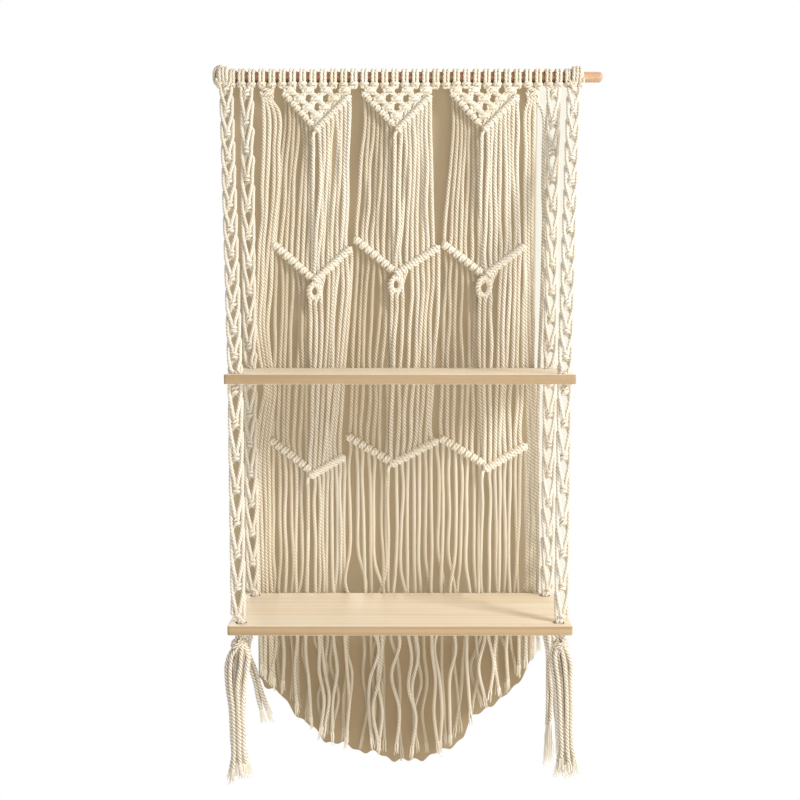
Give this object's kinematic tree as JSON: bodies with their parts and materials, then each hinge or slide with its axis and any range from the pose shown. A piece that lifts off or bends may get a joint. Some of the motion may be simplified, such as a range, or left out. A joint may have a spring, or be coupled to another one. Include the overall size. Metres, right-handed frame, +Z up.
{
  "type": "hanging rope shelf",
  "caption": "Wall-hung shelf of pine boards slung by knotted rope straps from a wooden dowel, in front of a knotted rope curtain with chevrons, a bowed fringe and tassels.",
  "frame": {"origin": "on the dowel's axis, midway along the boards", "axes": "+X to the viewer's right along the dowel, +Y towards the wall, +Z up"},
  "size_m": [0.5073, 0.1721, 0.9325],
  "materials": {
    "curtain_rope": "matte cream twisted cotton cord",
    "strap_rope": "matte cream twisted cotton cord, knotted into straps",
    "pine": "pale sanded pine with a straight grain",
    "dowel_wood": "smooth tan hardwood"
  },
  "bodies": {
    "dowel": {"dowel": "dowel_wood"},
    "upper_stage": {"upper_shelf": "pine", "front_left_strap_hitches": "strap_rope", "front_right_strap_hitches": "strap_rope", "rear_left_strap_hitches": "strap_rope", "rear_right_strap_hitches": "strap_rope", "front_left_upper_strap": "strap_rope", "front_right_upper_strap": "strap_rope", "rear_left_upper_strap": "strap_rope", "rear_right_upper_strap": "strap_rope", "front_left_upper_knot": "strap_rope", "front_right_upper_knot": "strap_rope", "rear_left_upper_knot": "strap_rope", "rear_right_upper_knot": "strap_rope"},
    "front_lower_straps": {"front_left_lower_strap": "strap_rope", "front_right_lower_strap": "strap_rope"},
    "rear_lower_straps": {"rear_left_lower_strap": "strap_rope", "rear_right_lower_strap": "strap_rope"},
    "lower_stage": {"lower_shelf": "pine", "front_left_lower_knot": "strap_rope", "front_right_lower_knot": "strap_rope", "rear_left_lower_knot": "strap_rope", "rear_right_lower_knot": "strap_rope"},
    "front_left_tassel": {"front_left_tassel": "strap_rope"},
    "front_right_tassel": {"front_right_tassel": "strap_rope"},
    "rear_left_tassel": {"rear_left_tassel": "strap_rope"},
    "rear_right_tassel": {"rear_right_tassel": "strap_rope"},
    "curtain": {"left_panel_knotted_top": "curtain_rope", "left_panel_upper_chevron": "curtain_rope", "left_panel_middle_chevron": "curtain_rope", "left_panel_lower_chevron": "curtain_rope", "middle_panel_knotted_top": "curtain_rope", "middle_panel_upper_chevron": "curtain_rope", "middle_panel_middle_chevron": "curtain_rope", "middle_panel_lower_chevron": "curtain_rope", "right_panel_knotted_top": "curtain_rope", "right_panel_upper_chevron": "curtain_rope", "right_panel_middle_chevron": "curtain_rope", "right_panel_lower_chevron": "curtain_rope", "left_side_cords": "curtain_rope", "right_side_cords": "curtain_rope"}
  },
  "joints": [
    {"name": "shelf_swing", "type": "hinge", "parent": "dowel", "child": "upper_stage", "pos_m": [0, 0, 0], "axis": [-1, 0, 0], "range_deg": [0, 20]},
    {"name": "curtain_swing", "type": "hinge", "parent": "dowel", "child": "curtain", "pos_m": [0, 0, 0], "axis": [1, 0, 0], "range_deg": [0, 1.2]},
    {"name": "lower_shelf_sway", "type": "hinge", "parent": "upper_stage", "child": "front_lower_straps", "pos_m": [0, -0.145, -0.4126], "axis": [-1, 0, 0], "range_deg": [0, 20]},
    {"name": "rear_strap_sway", "type": "hinge", "parent": "upper_stage", "child": "rear_lower_straps", "pos_m": [0, -0.023, -0.4126], "axis": [-1, 0, 0], "range_deg": [0, 20]},
    {"name": "lower_shelf_levelling", "type": "hinge", "parent": "front_lower_straps", "child": "lower_stage", "pos_m": [0, -0.145, -0.6802], "axis": [1, 0, 0], "range_deg": [0, 20]},
    {"name": "front_left_tassel_swing", "type": "hinge", "parent": "lower_stage", "child": "front_left_tassel", "pos_m": [-0.195, -0.145, -0.7216], "axis": [-1, 0, 0], "range_deg": [-15, 15]},
    {"name": "front_right_tassel_swing", "type": "hinge", "parent": "lower_stage", "child": "front_right_tassel", "pos_m": [0.195, -0.145, -0.7216], "axis": [-1, 0, 0], "range_deg": [-15, 15]},
    {"name": "rear_left_tassel_swing", "type": "hinge", "parent": "lower_stage", "child": "rear_left_tassel", "pos_m": [-0.195, -0.023, -0.7216], "axis": [-1, 0, 0], "range_deg": [0, 15]},
    {"name": "rear_right_tassel_swing", "type": "hinge", "parent": "lower_stage", "child": "rear_right_tassel", "pos_m": [0.195, -0.023, -0.7216], "axis": [-1, 0, 0], "range_deg": [0, 15]}
  ],
  "couplings": [
    {"joint": "rear_strap_sway", "follows": "lower_shelf_sway", "ratio": 1},
    {"joint": "lower_shelf_levelling", "follows": "lower_shelf_sway", "ratio": 1}
  ]
}
